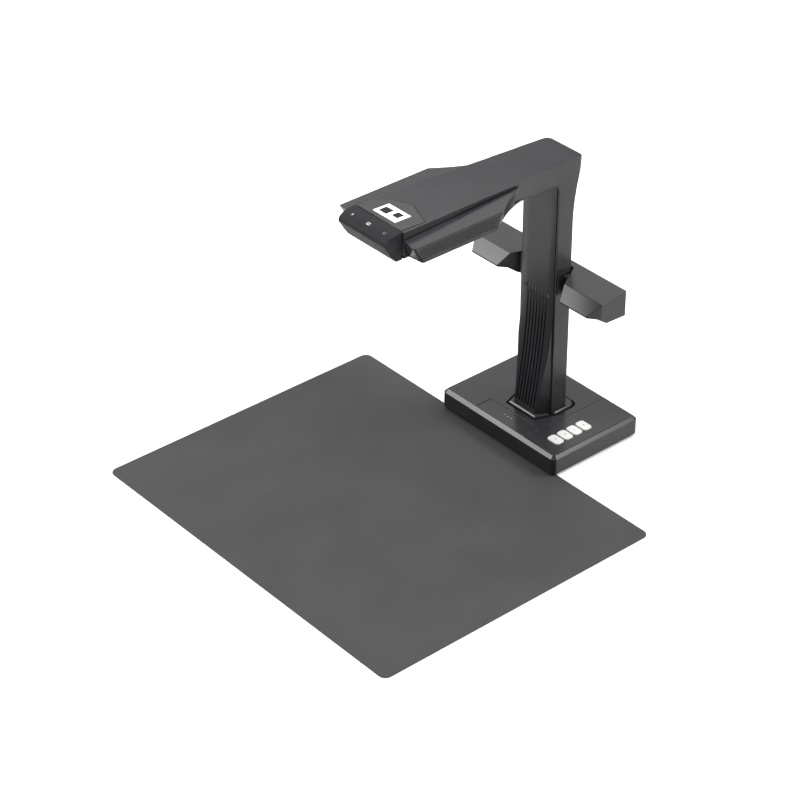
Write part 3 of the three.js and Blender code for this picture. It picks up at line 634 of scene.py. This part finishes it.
def row_tree():
    """Geometry Nodes: a straight row of small blocks."""
    tree = bpy.data.node_groups.new("row_of_blocks", "GeometryNodeTree")
    face = tree.interface
    for name, kind in (("Count", "Int"), ("Start", "Vector"), ("Step", "Vector"), ("Size", "Vector"),
                       ("Material", "Material")):
        face.new_socket(name, in_out="INPUT", socket_type=f"NodeSocket{kind}")
    face.new_socket("Geometry", in_out="OUTPUT", socket_type="NodeSocketGeometry")
    given = put(tree, "NodeGroupInput").outputs
    line = put(tree, "GeometryNodeMeshLine", Count=given["Count"], Start_Location=given["Start"],
               Offset=given["Step"])
    block = put(tree, "GeometryNodeMeshCube", Size=given["Size"])
    placed = put(tree, "GeometryNodeInstanceOnPoints", Points=line.outputs["Mesh"],
                 Instance=block.outputs["Mesh"])
    whole = put(tree, "GeometryNodeRealizeInstances", Geometry=placed.outputs["Instances"])
    dressed = put(tree, "GeometryNodeSetMaterial", Geometry=whole.outputs["Geometry"],
                  Material=given["Material"])
    out = put(tree, "NodeGroupOutput")
    tree.links.new(dressed.outputs["Geometry"], out.inputs["Geometry"])
    return tree


row_of_blocks = row_tree()


def row(name, count, start, step, size, material, body, slot):
    maker = bpy.data.objects.new("maker", bpy.data.meshes.new("maker"))
    bpy.context.scene.collection.objects.link(maker)
    modifier = maker.modifiers.new("row", "NODES")
    modifier.node_group = row_of_blocks
    values = {"Count": count, "Start": start, "Step": step, "Size": size, "Material": material}
    for key, value in values.items():
        set_input(modifier, key, value)
    mesh = baked(maker)
    bpy.data.objects.remove(maker)
    return link(name, mesh, material, body)


def contacts(node, count, spread, width, drop_z):
    """Gold strips on the tongue inside a socket."""
    inside, length, thick = 5 * MM, 6 * MM, 0.12 * MM
    low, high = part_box(node)
    middle = (low + high) / 2
    step = spread / (count - 1)
    start = (middle.x - spread / 2, high.y - inside, middle.z + drop_z)
    strip = (width, length, thick)
    row(f"{node}_contacts", count, start, (step, 0, 0), strip, gold_contact, "stand", "steel")


contacts("usb_a_port", 4, 7.5 * MM, 1.0 * MM, 0.36 * MM)
contacts("hdmi_port", 10, 9.0 * MM, 0.45 * MM, -0.74 * MM)
contacts("usb_b_port", 2, 3.0 * MM, 1.0 * MM, 1.64 * MM)


def make_lamp_leds(side):
    """A row of emitters under the board inside a lamp."""
    low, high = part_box(f"lamp_led_board_{side}")
    middle = (low + high) / 2
    count, emitter = 8, (2.8 * MM, 2.2 * MM, 0.9 * MM)
    step = (high.x - low.x) / count
    start = (low.x + step / 2, middle.y - 0.6 * MM, middle.z - 1.1 * MM)
    row(f"lamp_leds_{side}", count, start, (step, 0, 0), emitter, lit_mark, f"lamp_{side}", "white_diffuser")


def make_head_leds():
    """A row of emitters under the head light's board."""
    low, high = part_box("light_board")
    count, emitter = 9, (2.8 * MM, 2.8 * MM, 0.5 * MM)
    step = (high.x - low.x) / count
    start = (low.x + step / 2, (low.y + high.y) / 2, low.z - 0.3 * MM)
    row("head_leds", count, start, (step, 0, 0), emitter, lit_mark, "stand", "white_diffuser")


for side in ("right", "left"):
    make_lamp_leds(side)
make_head_leds()


# ---------------------------------------------------------------- camera lens

def spun(name, profile, centre, material, body, sides=48):
    """A turned piece round an upright axis. The profile runs from axis to axis, as (radius, z)."""
    corners, faces = [], []
    for radius, z in profile:
        for i in range(sides):
            angle = math.tau * i / sides
            corners.append((centre.x + radius * math.cos(angle), centre.y + radius * math.sin(angle), z))
    for r in range(len(profile) - 1):
        for i in range(sides):
            j = (i + 1) % sides
            faces.append([r * sides + i, r * sides + j, (r + 1) * sides + j, (r + 1) * sides + i])
    piece = solid(name, corners, faces, material, body, smooth=True)
    piece.data.set_sharp_from_angle(angle=math.radians(40))
    return piece


def make_lens():
    low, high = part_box("camera_lens")
    middle = (low + high) / 2
    radius, dome, steps = high.x - middle.x, 2.2 * MM, 10
    turns = [math.pi / 2 * i / steps for i in range(steps + 1)]
    front = [(radius * math.sin(turn), low.z + dome * (1 - math.cos(turn))) for turn in turns]
    profile = front + [(radius, high.z), (0.0, high.z)]
    piece = spun("lens_element", profile, middle, smoked_glass, "stand")
    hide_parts("camera_lens")


make_lens()


# ---------------------------------------------------------------- floor and light

def make_floor():
    reach = 6
    mesh = bpy.data.meshes.new("floor")
    mesh.from_pydata([(-reach, -reach, 0), (reach, -reach, 0), (reach, reach, 0), (-reach, reach, 0)], [],
                     [(0, 1, 2, 3)])
    floor = bpy.data.objects.new("floor", mesh)
    bpy.context.scene.collection.objects.link(floor)
    material, tree, shader = new_material("pale_floor", "#f4f4f4", 0.9, specular=0.1)
    shader.inputs["Emission Color"].default_value = colour("#ffffff")
    shader.inputs["Emission Strength"].default_value = 0.2
    place = put(tree, "ShaderNodeTexCoord").outputs["Object"]
    cloud = put(tree, "ShaderNodeTexNoise", {"Scale": 0.7}, Vector=place)
    tint = put(tree, "ShaderNodeValToRGB", Fac=cloud.outputs["Fac"])
    tint.color_ramp.elements[0].color = colour("#f2f2f2")
    tint.color_ramp.elements[1].color = colour("#f6f6f6")
    tree.links.new(tint.outputs["Color"], shader.inputs["Base Color"])
    mesh.materials.append(material)


def softbox(name, place, look_at, size, power):
    data = bpy.data.lights.new(name, "AREA")
    data.shape, data.size, data.size_y, data.energy = "RECTANGLE", size[0], size[1], power
    lamp = bpy.data.objects.new(name, data)
    lamp.location = place
    lamp.rotation_euler = (Vector(place) - Vector(look_at)).to_track_quat("Z", "Y").to_euler()
    bpy.context.scene.collection.objects.link(lamp)


make_floor()
centre = (0, 0.1, 0.15)
softbox("ceiling", (-0.85, 0.7, 2.8), (-0.85, 0.7, 0), (5.7, 5.4), 176)
softbox("front_left_strip", (-1.75, -1.45, 1.65), centre, (0.9, 0.5), 27)
softbox("back_right_strip", (1.55, 1.6, 1.9), centre, (0.9, 0.5), 40)
world = bpy.data.worlds.new("studio")
world.use_nodes = True
world.node_tree.nodes["Background"].inputs["Color"].default_value = colour("#fdfdfd")
world.node_tree.nodes["Background"].inputs["Strength"].default_value = 0.25
bpy.context.scene.world = world
bpy.context.scene.view_settings.view_transform = "Standard"
